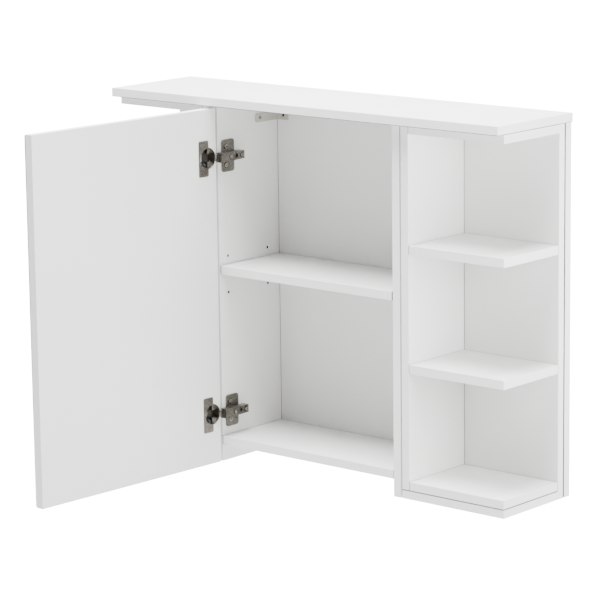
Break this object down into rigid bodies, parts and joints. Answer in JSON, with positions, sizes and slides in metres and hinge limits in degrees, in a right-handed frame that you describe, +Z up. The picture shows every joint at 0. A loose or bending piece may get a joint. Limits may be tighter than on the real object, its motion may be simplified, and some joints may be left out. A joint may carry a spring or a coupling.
{
  "type": "wall mirror cabinet",
  "caption": "Wall-hung bathroom cabinet with a hinged mirror door, an adjustable inner shelf, an open shelf unit on each side and one long top panel",
  "frame": {"origin": "on the wall plane, halfway between the two wall-screw holes at the top of the cabinet", "axes": "+X to the right seen from the front, +Y back into the wall, +Z up"},
  "size_m": [0.84, 0.6003, 0.64],
  "materials": {
    "white_board": "white melamine-coated particle board, matt",
    "mirror": "silvered float glass, polished",
    "backing_film": "safety film",
    "hinge_steel": "nickel-plated pressed steel, satin",
    "bright_steel": "bright nickel plating",
    "zinc_screw": "zinc-plated",
    "black_plastic": "moulded",
    "white_bracket": "white powder coat",
    "beech": "plain beech"
  },
  "bodies": {
    "cabinet": {"top_panel": "white_board", "cabinet_wall_left": "white_board", "cabinet_wall_right": "white_board", "cabinet_floor": "white_board", "cabinet_back": "white_board", "adjustable_shelf": "white_board", "rear_stile_left": "white_board", "rear_stile_right": "white_board", "rear_rail_top": "white_board", "rear_rail_bottom": "white_board", "left_side_wall": "white_board", "left_back_panel": "white_board", "left_top_board": "white_board", "left_upper_shelf": "white_board", "left_lower_shelf": "white_board", "left_bottom_board": "white_board", "left_base_plate": "white_board", "right_side_wall": "white_board", "right_back_panel": "white_board", "right_top_board": "white_board", "right_upper_shelf": "white_board", "right_lower_shelf": "white_board", "right_bottom_board": "white_board", "right_base_plate": "white_board", "upper_hinge_link": "hinge_steel", "upper_hinge_arm": "hinge_steel", "upper_mounting_plate": "hinge_steel", "upper_plate_screws": "bright_steel", "upper_arm_screws": "bright_steel", "lower_hinge_link": "hinge_steel", "lower_hinge_arm": "hinge_steel", "lower_mounting_plate": "hinge_steel", "lower_plate_screws": "bright_steel", "lower_arm_screws": "bright_steel", "wall_hanger_left": "white_bracket", "wall_hanger_right": "white_bracket", "shelf_pins": "bright_steel", "hanger_screws": "bright_steel", "left_unit_screws": "zinc_screw", "right_unit_screws": "zinc_screw", "frame_screws": "zinc_screw", "top_panel_screws": "zinc_screw", "cabinet_floor_screws": "zinc_screw", "wall_dowels": "beech"},
    "door": {"door_board": "white_board", "mirror_film": "backing_film", "mirror_glass": "mirror", "upper_hinge_cup": "hinge_steel", "upper_pivot_pin": "bright_steel", "upper_hinge_damper": "black_plastic", "upper_hinge_spring": "bright_steel", "upper_cup_screws": "hinge_steel", "lower_hinge_cup": "hinge_steel", "lower_pivot_pin": "bright_steel", "lower_hinge_damper": "black_plastic", "lower_hinge_spring": "bright_steel", "lower_cup_screws": "hinge_steel"}
  },
  "joints": [
    {"name": "door_hinge", "type": "hinge", "parent": "cabinet", "child": "door", "pos_m": [-0.2, -0.1934, -0.28], "axis": [0, 0, -1], "range_deg": [-93, 7]}
  ]
}
